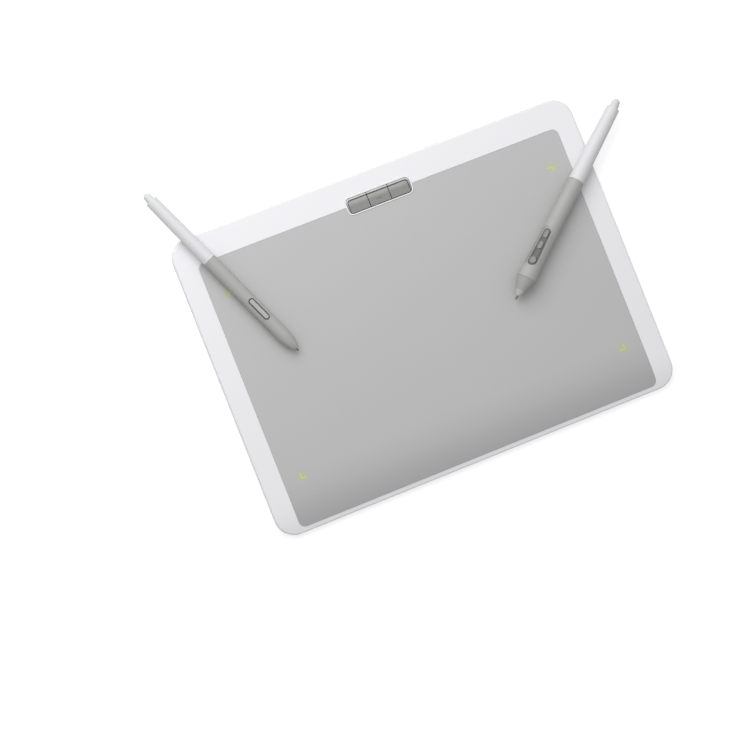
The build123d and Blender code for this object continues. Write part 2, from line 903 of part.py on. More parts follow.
def pen_eraser(length, end, radius, tip_radius):
    """Round-ended eraser with a shaft and a flange behind the barrel's end wall."""
    wall_inside = end - eraser_wall
    flange_start = wall_inside - eraser_flange_length
    sides = Polyline(
        (length, 0), (flange_start, 0), (flange_start, radius + eraser_flange),
        (wall_inside, radius + eraser_flange), (wall_inside, radius), (end, radius),
        (length - tip_radius, tip_radius))
    cap = CenterArc((length - tip_radius, 0), tip_radius, 0, 90)
    return revolve(make_face([*sides.edges(), cap]), Axis.X)


def eraser_flange_start(end):
    return end - eraser_wall - eraser_flange_length


def rear_barrel(seam, end, seam_radius, end_radius, bore, eraser_radius):
    """White rear barrel with an end wall that the eraser comes through."""
    start = seam + seam_groove
    rim = (end - barrel_chamfer, end_radius)
    outer = path((start, seam_radius), rim, (end, end_radius - barrel_chamfer))
    wall_inside = end - eraser_wall
    hole = eraser_radius + fit
    inner = path((start, bore), (wall_inside, bore), (wall_inside, hole), (end, hole))
    return turned(outer, inner)


def pen_coil(start, nib_radius):
    """Ferrite sleeve round the nib with its winding."""
    hole = nib_radius + fit
    ferrite = tube(start, start + ferrite_length, hole + ferrite_wall, hole)
    winding = tube(
        start + winding_inset, start + ferrite_length - winding_inset,
        hole + ferrite_wall + winding_thickness, hole + ferrite_wall)
    return Compound(children=[ferrite, winding])


def sensor_start():
    return nib_inner_length + nib_travel + press_gap


def sensor_end():
    return sensor_start() + pressure_sensor_length


def board_half(bore):
    return bore - pen_board_rim


def pressure_sensor(bore):
    return rod(sensor_start(), sensor_end(), bore - tray_wall - 2 * fit)


def board_deck(bore, tray_end, grow):
    """Block on the pen's circuit board, which lies across the tray."""
    start = sensor_end() - grow
    end = tray_end - eraser_sensor_length + grow
    return Pos((start + end) / 2, 0, -pen_board_deck + board_thickness / 2) * Box(
        end - start, 2 * (board_half(bore) + grow), board_thickness + 2 * grow)


def inner_frame(bore, seam, tray_end):
    """Half-round tray with full collars at the pressure sensor and at the seam."""
    outer = bore - fit
    inner = bore - tray_wall - fit
    tray = tube(sensor_start(), tray_end, outer, inner)
    front_collar = tube(sensor_start(), sensor_end(), outer, inner)
    seam_collar = tube(seam - collar_half, seam + collar_half, outer, inner)
    above_deck = Pos(0, 0, bore - pen_board_deck) * Box(4 * tray_end, 4 * bore, 2 * bore)
    frame = (tray - above_deck) + front_collar + seam_collar
    return frame - (board_deck(bore, tray_end, fit) & above_deck)


def circuit_board(bore, tray_end):
    return board_deck(bore, tray_end, 0.0)


def pen_switches(places, top):
    """Small switches on the pen's board, up to the given level."""
    bottom = board_thickness - pen_board_deck
    return Compound(children=[
        Pos(at, 0, (bottom + top) / 2) * Box(pen_switch_size, pen_switch_size, top - bottom) for at in places
    ])


def eraser_sensor(bore, tray_end, end):
    """Second sensor at the tray's rear end, behind the eraser."""
    start = tray_end - eraser_sensor_length
    stop = eraser_flange_start(end) - eraser_travel - press_gap
    return rod(start + fit, stop, bore - tray_wall - 2 * fit)


def pill(length, width, at, bottom, top):
    """Upright block with round ends, along the pen."""
    return Pos(at, 0, bottom) * extrude(SlotOverall(length, width), amount=top - bottom)


# Thin pen

def thin_outline(grow):
    """Outer line of the grey front barrel."""
    mouth = (thin_nib_out, thin_mouth_radius + grow)
    shoulder = (thin_nib_out + thin_nose_length, thin_grip_radius + grow)
    nose = Bezier(
        mouth, (mouth[0] + thin_nose_lead, mouth[1] + thin_nose_blunt),
        (shoulder[0] - thin_nose_full, shoulder[1]), shoulder)
    return [nose, Line(shoulder, (thin_seam, thin_seam_radius + grow))]


def thin_core(grow):
    """Solid body of the front barrel, drawn out or in by grow."""
    return turned(thin_outline(grow), path((thin_nib_out, 0), (thin_seam, 0)))


def thin_bore():
    """Both barrels' bore, which the narrow rear end sets."""
    return thin_end_radius - thin_wall


def thin_pen_front_barrel():
    """Grey front barrel with its nose and the rocker's slot."""
    nose_floor = thin_nib_out + nose_bore_length
    hole = thin_nib_radius + glue_fit
    shoulder = thin_nib_out + thin_nose_length
    inner = path(
        (thin_nib_out, hole), (nose_floor, hole), (nose_floor, thin_nose_floor_radius),
        (shoulder, thin_bore()), (thin_seam, thin_bore()))
    barrel = turned(thin_outline(0.0), inner)
    return barrel - pill(thin_slot_length, thin_slot_width, thin_rocker_at, 0.0, 2 * thin_seam_radius)


def thin_pen_rear_barrel():
    return rear_barrel(
        thin_seam, thin_end, thin_seam_radius, thin_end_radius, thin_bore(), thin_eraser_radius)


def rocker_floor():
    return thin_grip_radius - thin_rocker_depth


def pivot_height():
    return thin_grip_radius - thin_pivot_depth


def pivot_bar(radius, length):
    return Pos(thin_rocker_at, 0, pivot_height()) * Rot(90, 0, 0) * Cylinder(radius, length)


def thin_pen_rocker_seat():
    """Dark frame in the slot, which the rocker's pivot turns in."""
    length = thin_slot_length - 2 * glue_fit
    width = thin_slot_width - 2 * glue_fit
    seat = pill(length, width, thin_rocker_at, rocker_floor() - 2 * fit, 2 * thin_seam_radius)
    seat = seat & thin_core(-thin_rocker_sink)
    hole_length = thin_rocker_length + 4 * fit
    hole_width = thin_rocker_width + 4 * fit
    seat -= pill(hole_length, hole_width, thin_rocker_at, 0.0, 2 * thin_seam_radius)
    return seat - pivot_bar(thin_pivot_radius + thin_pivot_fit, 2 * thin_slot_width)


def thin_pen_rocker():
    """Two-way button on its pivot."""
    above = 2 * thin_seam_radius
    button = pill(thin_rocker_length, thin_rocker_width, thin_rocker_at, rocker_floor(), above)
    button = button & thin_core(thin_rocker_proud)
    return button + pivot_bar(thin_pivot_radius, thin_slot_width - 4 * glue_fit)


def thin_pen_switches():
    swing = sin(radians(thin_rocker_angle)) * thin_rocker_length / 2
    places = [thin_rocker_at - pen_switch_spacing / 2, thin_rocker_at + pen_switch_spacing / 2]
    return pen_switches(places, rocker_floor() - swing - press_gap)


# Thick pen

def thick_outline(grow):
    """Outer line of the grip, flared towards its front."""
    front = (thick_cone_end + seam_groove, thick_grip_radius - thick_rim_drop + grow)
    rim = (front[0] + thick_rim_length, thick_grip_radius + grow)
    waist = (rim[0] + thick_flare_length, thick_flare_radius + grow)
    slope = (thick_flare_radius - thick_seam_radius) / (thick_seam - waist[0])
    flare = Bezier(
        rim, (rim[0] + thick_flare_lead, rim[1] - thick_flare_fall),
        (waist[0] - thick_flare_tail, waist[1] + slope * thick_flare_tail), waist)
    edge = Bezier(front, (front[0], rim[1]), rim)
    return [edge, flare, Line(waist, (thick_seam, thick_seam_radius + grow))]


def thick_core(grow):
    """Solid body of the grip, drawn out or in by grow."""
    outline = thick_outline(grow)
    return turned(outline, path((thick_cone_end + seam_groove, 0), (thick_seam, 0)))


def thick_bore():
    """The grip's and the rear barrel's bore, which the narrow rear end sets."""
    return thick_end_radius - thick_wall


def inlay_block(grow, bottom):
    """Upright block on the button inlay's outline, wide at its front."""
    circles = [
        Pos(thick_inlay_front, 0) * Circle(thick_inlay_front_radius + grow),
        Pos(thick_inlay_rear, 0) * Circle(thick_inlay_rear_radius + grow),
    ]
    outline = make_hull([edge for circle in circles for edge in circle.edges()])
    return Pos(0, 0, bottom) * extrude(outline, amount=2 * thick_grip_radius)


def thick_pen_grip():
    """Grey grip with the inlay's opening and a shallow dish round it."""
    inner = path((thick_cone_end + seam_groove, thick_bore()), (thick_seam, thick_bore()))
    grip = turned(thick_outline(0.0), inner)
    grip -= inlay_block(thick_dish_border, 0.0) - thick_core(-thick_dish_depth)
    return grip - inlay_block(0.0, 0.0)


def inlay_floor():
    """Underside of the inlay, level with the top of the bore."""
    return thick_bore()


def button_shapes():
    """Length, width and place of each button in the inlay."""
    return {
        "front": (thick_front_button_size, thick_front_button_size, thick_button_front_at),
        "middle": (thick_button_length, thick_button_width, thick_button_middle_at),
        "rear": (thick_button_length, thick_button_width, thick_button_rear_at),
    }


def button_block(length, width, at, grow, bottom, top):
    """Upright block on a button's outline, a circle or a rounded oblong."""
    if length > width:
        outline = RectangleRounded(length + 2 * grow, width + 2 * grow, thick_button_corner + grow)
    else:
        outline = Circle(length / 2 + grow)
    return Pos(at, 0, bottom) * extrude(outline, amount=top - bottom)


def thick_pen_button_inlay():
    """Dark insert that the three buttons come through."""
    inlay = inlay_block(-glue_fit, inlay_floor()) & thick_core(-thick_inlay_sink)
    for length, width, at in button_shapes().values():
        inlay -= button_block(length, width, at, 2 * fit, 0.0, 2 * thick_grip_radius)
    return inlay


def button_bottom():
    return inlay_floor() - fit - thick_button_flange_thickness


def thick_pen_button(name):
    """One button with a dished top and a flange under the inlay."""
    length, width, at = button_shapes()[name]
    above = 2 * thick_grip_radius
    cap = button_block(length, width, at, 0.0, button_bottom(), above) & thick_core(thick_button_proud)
    dish = button_block(length, width, at, -thick_button_rim, inlay_floor(), above)
    cap -= dish - thick_core(thick_button_proud - thick_button_dish)
    return cap + button_block(length, width, at, thick_button_flange, button_bottom(), inlay_floor() - fit)


def thick_pen_switches():
    places = [at for length, width, at in button_shapes().values()]
    return pen_switches(places, button_bottom() - thick_button_travel - press_gap)


def cone_outline():
    """Outer line of the nose cone, slightly full."""
    front = (thick_sleeve_end, thick_sleeve_radius)
    rear = (thick_cone_end, thick_cone_radius)
    middle = ((front[0] + rear[0]) / 2, (front[1] + rear[1]) / 2 + thick_cone_bulge)
    return [Bezier(front, middle, rear)]


def thick_pen_nose_cone():
    """Darker cone that screws into the grip's front."""
    hole = thick_nib_radius + glue_fit
    floor = thick_nib_out + nose_bore_length
    spigot = thick_bore() - fit
    inner = path(
        (thick_sleeve_end, hole), (floor, hole), (floor, thick_nose_floor_radius),
        (thick_cone_end, spigot - tray_wall))
    cone = turned(cone_outline(), inner)
    return cone + tube(thick_cone_end, sensor_start() - fit, spigot, spigot - tray_wall)


def thick_pen_tip_sleeve():
    """Lighter sleeve at the nose, which the nib comes through."""
    hole = thick_nib_radius + glue_fit
    outer = path((thick_nib_out, thick_mouth_radius), (thick_sleeve_end, thick_sleeve_radius))
    return turned(outer, path((thick_nib_out, hole), (thick_sleeve_end, hole)))


def thick_pen_rear_barrel():
    return rear_barrel(
        thick_seam, thick_end, thick_seam_radius, thick_end_radius, thick_bore(), thick_eraser_radius)


# Where the pens lie

def pen_place(x, y, heading, roll, front, stops):
    """Place of a pen that lies on the tablet, touching at its front and at the proudest stop behind."""
    front_at, front_radius = front
    rise = max((radius - front_radius) / (at - front_at) for at, radius in stops)
    tilt = atan(rise)
    height = body_height + pen_rest_gap + front_radius * cos(tilt) - front_at * sin(tilt)
    return Pos(x, y, height) * Rot(0, 0, heading) * Rot(0, -degrees(tilt), 0) * Rot(roll, 0, 0)


def radius_along(at, seam, end, seam_radius, end_radius):
    """Rear barrel's radius at a distance from the nib's tip."""
    return seam_radius + (end_radius - seam_radius) * (at - seam) / (end - seam)


def thin_place():
    edge = (half_depth - edge_round - thin_tip_y) / sin(radians(thin_heading))
    radius = radius_along(edge, thin_seam, thin_end, thin_seam_radius, thin_end_radius)
    front = (thin_nib_out + thin_nose_length, thin_grip_radius)
    stops = [(thin_seam, thin_seam_radius), (edge, radius)]
    return pen_place(thin_tip_x, thin_tip_y, thin_heading, thin_roll, front, stops)


def thick_place():
    edge = (half_width - edge_round - thick_tip_x) / cos(radians(thick_heading))
    radius = radius_along(edge, thick_seam, thick_end, thick_seam_radius, thick_end_radius)
    front = (thick_cone_end + seam_groove + thick_rim_length, thick_grip_radius)
    stops = [(thick_seam, thick_seam_radius), (edge, radius)]
    return pen_place(thick_tip_x, thick_tip_y, thick_heading, thick_roll, front, stops)


# The whole object

def tablet_parts():
    keys = {"express_key_" + name: express_key(*span) for name, span in key_spans().items()}
    return {
        "top_cover": top_cover(),
        "bottom_cover": bottom_cover(),
        "drawing_surface": drawing_surface(),
        "corner_light_guides": corner_light_guides(),
        "corner_led_boards": corner_led_boards(),
        "key_bezel": key_bezel(),
        "key_frame": key_frame(),
        "key_board": key_board(),
        "key_switches": key_switches(),
        "power_switch": power_switch(),
        "power_slider": power_slider(),
        "usb_c_port": usb_c_port(),
        "main_board": main_board(),
        "board_chips": board_chips(),
        "wireless_antenna": wireless_antenna(),
        "sensor_board": sensor_board(),
        "shield_plate": shield_plate(),
        "battery": battery(),
        "battery_pads": battery_pads(),
        "ribbon_cables": ribbon_cables(),
        "rubber_feet": rubber_feet(),
        "case_screws": case_screws(),
        **keys,
    }


def thin_pen_parts():
    bore = thin_bore()
    return {
        "thin_pen_front_barrel": thin_pen_front_barrel(),
        "thin_pen_rear_barrel": thin_pen_rear_barrel(),
        "thin_pen_inner_frame": inner_frame(bore, thin_seam, thin_tray_end),
        "thin_pen_rocker_seat": thin_pen_rocker_seat(),
        "thin_pen_rocker": thin_pen_rocker(),
        "thin_pen_nib": pen_nib(thin_nib_radius),
        "thin_pen_eraser": pen_eraser(thin_length, thin_end, thin_eraser_radius, thin_eraser_tip_radius),
        "thin_pen_circuit_board": circuit_board(bore, thin_tray_end),
        "thin_pen_switches": thin_pen_switches(),
        "thin_pen_coil": pen_coil(thin_nib_out + nose_bore_length, thin_nib_radius),
        "thin_pen_pressure_sensor": pressure_sensor(bore),
        "thin_pen_eraser_sensor": eraser_sensor(bore, thin_tray_end, thin_end),
    }


def thick_pen_parts():
    bore = thick_bore()
    buttons = {"thick_pen_button_" + name: thick_pen_button(name) for name in button_shapes()}
    return {
        "thick_pen_grip": thick_pen_grip(),
        "thick_pen_rear_barrel": thick_pen_rear_barrel(),
        "thick_pen_nose_cone": thick_pen_nose_cone(),
        "thick_pen_tip_sleeve": thick_pen_tip_sleeve(),
        "thick_pen_inner_frame": inner_frame(bore, thick_seam, thick_tray_end),
        "thick_pen_button_inlay": thick_pen_button_inlay(),
        "thick_pen_nib": pen_nib(thick_nib_radius),
        "thick_pen_eraser": pen_eraser(
            thick_length, thick_end, thick_eraser_radius, thick_eraser_tip_radius),
        "thick_pen_circuit_board": circuit_board(bore, thick_tray_end),
        "thick_pen_switches": thick_pen_switches(),
        "thick_pen_coil": pen_coil(thick_nib_out + nose_bore_length, thick_nib_radius),
        "thick_pen_pressure_sensor": pressure_sensor(bore),
        "thick_pen_eraser_sensor": eraser_sensor(bore, thick_tray_end, thick_end),
        **buttons,
    }


def main():
    parts = tablet_parts()
    for place, pen in ((thin_place(), thin_pen_parts()), (thick_place(), thick_pen_parts())):
        for name, shape in pen.items():
            parts[name] = place * shape
    os.makedirs("parts", exist_ok=True)
    for name, shape in parts.items():
        export_step(shape, "parts/" + name + ".step")


if __name__ == "__main__":
    main()
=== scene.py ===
import json
import math

import bpy
from mathutils import Matrix, Vector

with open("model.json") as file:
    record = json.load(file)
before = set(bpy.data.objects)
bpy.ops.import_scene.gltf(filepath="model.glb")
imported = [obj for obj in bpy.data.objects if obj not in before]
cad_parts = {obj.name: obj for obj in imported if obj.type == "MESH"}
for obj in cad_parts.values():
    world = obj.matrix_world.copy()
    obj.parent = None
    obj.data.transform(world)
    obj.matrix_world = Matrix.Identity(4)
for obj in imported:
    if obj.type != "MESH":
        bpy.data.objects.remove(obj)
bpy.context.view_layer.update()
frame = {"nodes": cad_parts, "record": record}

# Graphics tablet with two pens lying on it. Metres, in the frame's own axes.

millimetre = 0.001
white = (1.0, 1.0, 1.0, 1.0)
nodes = frame["nodes"]

# Camera: high over the tablet and somewhat to its left, looking almost straight down
camera_place = Vector((-0.3259, -0.0457, 1.7261))
camera_forward = Vector((0.1557, 0.0141, -0.9877))
camera_up = Vector((0.3623, 0.9294, 0.0704))
camera_sensor = 36.0
camera_lens = 116.05

# Light: a soft lamp near the rear left, and a white room that is brighter on that side and overhead
lamp_aim = Vector((0.0, 0.0, 0.0))
key_lamp_place = Vector((-0.15, 0.55, 0.65))
key_lamp_size = (0.8, 0.7)
key_lamp_power = 5.0
room_level = 0.35
room_overhead = 0.41
room_side = Vector((-0.35, 0.94, 0.0))
room_lean = 0.25
backdrop_level = 0.96

# Floor: its lift shows but lights nothing, so that the floor looks nearly white and keeps the shadow
floor_size = 6.0
floor_colour = (0.56, 0.56, 0.565, 1.0)
floor_roughness = 0.9
floor_specular = 0.1
floor_lift = 0.6
floor_drop = -0.05 * millimetre

# Edges sharper than this many degrees stay crisp
sharp_angle = 32.0

# Places in the frame that finishes and their painted light and shade follow, in millimetres: the keys'
# shared dish, the middle key's bar, the active area's centre, how far its corner marks lie from it and how
# far their painted glow reaches, and the sheet's bend over the front
key_dish_half_length = 23.8
key_dish_rear = 98.4
key_dish_corner = 2.0
key_bar_y = 92.95
key_bar_half_length = 2.3
key_bar_half_width = 0.35
marks_centre = (0.0, -5.0, 0.0)
mark_offset = (130.2, 72.8, 0.0)
painted_glow_radius = 5.5
bend_rear = -70.0
bend_front = -108.0

# Tones there, as shares of the plain colour: (place in millimetres, share) from the keys' front to their
# back, painted shade at the front gap and painted light towards the rear, and from inside the dish outwards
# across its step, a painted shadow line in the step and a painted highlight on the ledge behind it
key_face_painted_light_and_shade = ((88.35, 0.55), (89.2, 0.69), (94.0, 0.69), (97.6, 1.24), (99.95, 1.24))
key_step_painted_shadow_and_highlight = ((-0.6, 1.0), (-0.35, 0.8), (-0.1, 0.16), (0.18, 0.16), (0.42, 1.1), (0.9, 1.6))
key_bar_shade = 0.2
# Share of the painted glow that the film takes next to a corner mark
painted_glow_share = 0.42
# Painted shade on the film where it bends down over the front
bend_painted_shade = 0.84


def srgb(code):
    """Linear colour of a six-figure hexadecimal colour."""
    def linear(value):
        return value / 12.92 if value <= 0.04045 else ((value + 0.055) / 1.055) ** 2.4
    return tuple(linear(int(code[i:i + 2], 16) / 255) for i in (0, 2, 4)) + (1.0,)


def scaled(colour, factor):
    return tuple(min(1.0, channel * factor) for channel in colour[:3]) + (1.0,)


# Node helpers: what they work on may be numbers, colours, vectors or the sockets of other nodes

def new_material(name):
    """Node material, with its tree and its Principled shader."""
    material = bpy.data.materials.new(name)
    material.use_nodes = True
    tree = material.node_tree
    return material, tree, tree.nodes["Principled BSDF"]


def plug(tree, socket, value):
    """A number, colour or vector is set on the socket, and another socket is linked to it."""
    if isinstance(value, bpy.types.NodeSocket):
        tree.links.new(value, socket)
    else:
        socket.default_value = value


def maths(tree, operation, *values):
    node = tree.nodes.new("ShaderNodeMath")
    node.operation = operation
    for socket, value in zip(node.inputs, values):
        plug(tree, socket, value)
    return node.outputs["Value"]


def vector_maths(tree, operation, first, second=None):
    node = tree.nodes.new("ShaderNodeVectorMath")
    node.operation = operation
    plug(tree, node.inputs[0], first)
    if second is not None:
        plug(tree, node.inputs["Scale" if operation == "SCALE" else 1], second)
    return node.outputs["Value" if operation in ("LENGTH", "DOT_PRODUCT") else "Vector"]


def place_in(tree, space):
    """Texture coordinate: "Object" is the point in object space, "Generated" the direction in a world."""
    return tree.nodes.new("ShaderNodeTexCoord").outputs[space]


def parts_of(tree, vector):
    node = tree.nodes.new("ShaderNodeSeparateXYZ")
    plug(tree, node.inputs["Vector"], vector)
    return node.outputs["X"], node.outputs["Y"], node.outputs["Z"]


def spread(tree, value, low, high, start=0.3, end=0.7, smooth_ends=False):
    """The value's stretch from start to end spread over low to high. Noise mostly lies in 0.3 to 0.7."""
    node = tree.nodes.new("ShaderNodeMapRange")
    node.interpolation_type = "SMOOTHSTEP" if smooth_ends else "LINEAR"
    for socket, amount in (("From Min", start), ("From Max", end), ("To Min", low), ("To Max", high)):
        node.inputs[socket].default_value = amount
    plug(tree, node.inputs["Value"], value)
    return node.outputs["Result"]


def mixed(tree, share, first, second, kind="RGBA"):
    """What runs from first to second with the share, a colour unless the kind is FLOAT."""
    node = tree.nodes.new("ShaderNodeMix")
    node.data_type = kind
    for socket, value in (("Factor", share), ("A", first), ("B", second)):
        plug(tree, node.inputs[socket], value)
    return node.outputs["Result"]


def noise(tree, vector, scale, detail=2.0, roughness=0.5):
    node = tree.nodes.new("ShaderNodeTexNoise")
    for socket, amount in (("Scale", scale), ("Detail", detail), ("Roughness", roughness)):
        node.inputs[socket].default_value = amount
    plug(tree, node.inputs["Vector"], vector)
    return node.outputs["Fac"]


def blotches(tree, size, detail=3.0):
    """Noise in object space whose blotches are about size millimetres across."""
    return noise(tree, place_in(tree, "Object"), 1.0 / (size * millimetre), detail, roughness=0.55)


def drift(tree, value, colour, below, above):
    """The colour, which runs with the value from the share below to the share above."""
    return mixed(tree, value, scaled(colour, below), scaled(colour, above))


def grain(tree, shader, size, depth, strength):
    """Fine bump on the shader's normal, its size and depth in millimetres."""
    bump = tree.nodes.new("ShaderNodeBump")
    bump.inputs["Strength"].default_value = strength
    bump.inputs["Distance"].default_value = depth * millimetre
    plug(tree, bump.inputs["Height"], blotches(tree, size, detail=2.0))
    plug(tree, shader.inputs["Normal"], bump.outputs["Normal"])


def tone_ramp(tree, value, tones):
    """Share that follows the (place in millimetres, share) pairs along the value."""
    first, last = tones[0][0], tones[-1][0]
    node = tree.nodes.new("ShaderNodeFloatCurve")
    node.mapping.use_clip = False
    points = node.mapping.curves[0].points
    while len(points) < len(tones):
        points.new(0.5, 0.5)
    for point, (at, tone) in zip(points, tones):
        point.location = ((at - first) / (last - first), tone)
        point.handle_type = "VECTOR"
    node.mapping.update()
    plug(tree, node.inputs["Value"], spread(tree, value, 0.0, 1.0, first * millimetre, last * millimetre))
    return node.outputs["Value"]


# Finishes

def moulded_plastic(name, colour, roughness=0.45, tone=0.03, specular=0.5):
    """Moulded plastic: faint drift in tone and gloss, and a fine spark-eroded grain."""
    gloss_swing = 0.05
    material, tree, shader = new_material(name)
    colour_drift = drift(tree, blotches(tree, 25), colour, 1.0 - tone, 1.0 + tone)
    gloss = spread(tree, blotches(tree, 6), roughness - gloss_swing, roughness + gloss_swing)
    plug(tree, shader.inputs["Base Color"], colour_drift)
    plug(tree, shader.inputs["Roughness"], gloss)
    shader.inputs["Specular IOR Level"].default_value = specular
    grain(tree, shader, size=0.35, depth=0.02, strength=0.35)
    return material


def dish_distance(tree, x, y):
    """Distance from the outline that the keys' shared dish has at its rear and its two ends."""
    corner = key_dish_corner * millimetre
    along = maths(tree, "SUBTRACT", maths(tree, "ABSOLUTE", x), key_dish_half_length * millimetre - corner)
    across = maths(tree, "SUBTRACT", y, key_dish_rear * millimetre - corner)
    squares = [maths(tree, "POWER", maths(tree, "MAXIMUM", side, 0.0), 2.0) for side in (along, across)]
    outer = maths(tree, "SQRT", maths(tree, "ADD", *squares))
    inner = maths(tree, "MINIMUM", maths(tree, "MAXIMUM", along, across), 0.0)
    return maths(tree, "SUBTRACT", maths(tree, "ADD", outer, inner), corner)


def bar_tone(tree, x, y):
    """Slightly darker tone on the small bar of the middle key."""
    past_end = maths(tree, "SUBTRACT", maths(tree, "ABSOLUTE", x), key_bar_half_length * millimetre)
    offset = maths(tree, "ABSOLUTE", maths(tree, "SUBTRACT", y, key_bar_y * millimetre))
    past_side = maths(tree, "SUBTRACT", offset, key_bar_half_width * millimetre)
    inside = maths(tree, "LESS_THAN", maths(tree, "MAXIMUM", past_end, past_side), 0.0)
    return maths(tree, "SUBTRACT", 1.0, maths(tree, "MULTIPLY", inside, key_bar_shade))


def key_plastic(name, colour):
    """Satin key caps with painted light and shade: lighter towards the dish's rear, a painted shadow line at
    its step and a painted highlight on the ledge behind.
    """
    material, tree, shader = new_material(name)
    x, y, _ = parts_of(tree, place_in(tree, "Object"))
    # Painted shade at the keys' front gap and painted light towards the dish's rear
    painted_face_light = tone_ramp(tree, y, key_face_painted_light_and_shade)
    # Painted shadow line in the dish's step and painted highlight on the ledge behind it
    painted_step_shadow = tone_ramp(tree, dish_distance(tree, x, y), key_step_painted_shadow_and_highlight)
    bar = bar_tone(tree, x, y)
    cloud = spread(tree, blotches(tree, 3), 0.97, 1.03)
    tone = maths(tree, "MULTIPLY", maths(tree, "MULTIPLY", painted_face_light, painted_step_shadow), maths(tree, "MULTIPLY", bar, cloud))
    plug(tree, shader.inputs["Base Color"], vector_maths(tree, "SCALE", colour[:3], tone))
    plug(tree, shader.inputs["Roughness"], spread(tree, blotches(tree, 2), 0.3, 0.38))
    grain(tree, shader, size=0.2, depth=0.008, strength=0.3)
    return material


def painted_mark_glow(tree):
    """How much a point of the film takes the painted glow of the nearest corner mark."""
    flat = (1.0, 1.0, 0.0)
    centre, offset = (tuple(value * millimetre for value in point) for point in (marks_centre, mark_offset))
    from_centre = vector_maths(tree, "SUBTRACT", place_in(tree, "Object"), centre)
    from_mark = vector_maths(tree, "SUBTRACT", vector_maths(tree, "ABSOLUTE", from_centre), offset)
    distance = vector_maths(tree, "LENGTH", vector_maths(tree, "MULTIPLY", from_mark, flat))
    return spread(tree, distance, painted_glow_share, 0.0, 0.0, painted_glow_radius * millimetre)


def drawing_film(name, colour, painted_glow_colour):
    """Film with a paper-like tooth and tiny flecks, with painted shade where it bends down over the front,
    and a faint painted glow round the marks."""
    material, tree, shader = new_material(name)
    fleck = blotches(tree, 0.45, detail=2.0)
    cloud_share = 0.25
    cloudy = maths(tree, "MULTIPLY_ADD", blotches(tree, 60), cloud_share, spread(tree, fleck, 0.35, 0.65))
    film = drift(tree, cloudy, colour, 0.94, 1.05)
    y = parts_of(tree, place_in(tree, "Object"))[1]
    # Painted shade where the film bends down over the front
    painted_bend_shade = spread(tree, y, bend_painted_shade, 1.0, bend_front * millimetre, bend_rear * millimetre, smooth_ends=True)
    film_with_painted_shade = vector_maths(tree, "SCALE", film, painted_bend_shade)
    # Painted glow round the corner marks
    plug(tree, shader.inputs["Base Color"], mixed(tree, painted_mark_glow(tree), film_with_painted_shade, painted_glow_colour))
    plug(tree, shader.inputs["Roughness"], spread(tree, fleck, 0.42, 0.54))
    shader.inputs["Specular IOR Level"].default_value = 0.55
    grain(tree, shader, size=0.28, depth=0.02, strength=0.45)
    return material


def soft_rubber(name, colour):
    """Dull rubber with a fine stipple."""
    material, tree, shader = new_material(name)
    plug(tree, shader.inputs["Base Color"], drift(tree, blotches(tree, 4), colour, 0.9, 1.08))
    shader.inputs["Roughness"].default_value = 0.82
    shader.inputs["Specular IOR Level"].default_value = 0.3
    grain(tree, shader, size=0.3, depth=0.05, strength=0.6)
    return material


def metal(name, colour, roughness):
    """Stamped or drawn metal with fine scratches along X."""
    scratches_along, scratches_across = 60.0, 4000.0
    gloss_swing = 0.08
    material, tree, shader = new_material(name)
    stretch = tree.nodes.new("ShaderNodeMapping")
    stretch.inputs["Scale"].default_value = (scratches_along, scratches_across, scratches_across)
    plug(tree, stretch.inputs["Vector"], place_in(tree, "Object"))
    scratches = noise(tree, stretch.outputs["Vector"], scale=1.0)
    gloss = spread(tree, scratches, roughness - gloss_swing, roughness + gloss_swing)
    plug(tree, shader.inputs["Base Color"], drift(tree, scratches, colour, 0.85, 1.12))
    plug(tree, shader.inputs["Roughness"], gloss)
    shader.inputs["Metallic"].default_value = 1.0
    return material


def light_guide(name, colour, glow):
    """Clear guide that glows faintly from the light under it."""
    material, tree, shader = new_material(name)
    tone = drift(tree, blotches(tree, 3), colour, 0.92, 1.06)
    for socket in ("Base Color", "Emission Color"):
        plug(tree, shader.inputs[socket], tone)
    shader.inputs["Emission Strength"].default_value = glow
    shader.inputs["Roughness"].default_value = 0.35
    return material


def circuit_board(name, colour):
    """Solder mask over faint copper traces."""
    material, tree, shader = new_material(name)
    traces = tree.nodes.new("ShaderNodeTexBrick")
    looks = (("Scale", 260.0), ("Mortar Size", 0.06), ("Color1", colour),
             ("Color2", scaled(colour, 0.85)), ("Mortar", scaled(colour, 1.7)))
    for socket, value in looks:
        traces.inputs[socket].default_value = value
    plug(tree, traces.inputs["Vector"], place_in(tree, "Object"))
    plug(tree, shader.inputs["Base Color"], traces.outputs["Color"])
    shader.inputs["Roughness"].default_value = 0.35
    return material


slots = {
    "drawing_sheet": drawing_film("drawing_sheet", srgb("b2b2b2"), srgb("b9c277")),
    "key_grey": key_plastic("key_grey", srgb("929390")),
    "light_guide": light_guide("light_guide", srgb("bcc585"), glow=0.04),
    "board_green": circuit_board("board_green", srgb("1d5a38")),
    "foam": soft_rubber("foam", srgb("3c3c3d")),
    "foot_rubber": soft_rubber("foot_rubber", srgb("c4c4c6")),
}

# Metals: colour and roughness
metals = {
    "port_steel": ("c9cacc", 0.3),
    "shield_metal": ("d2d3d4", 0.35),
    "screw_steel": ("9fa1a4", 0.35),
    "battery_foil": ("cfd0ce", 0.45),
}

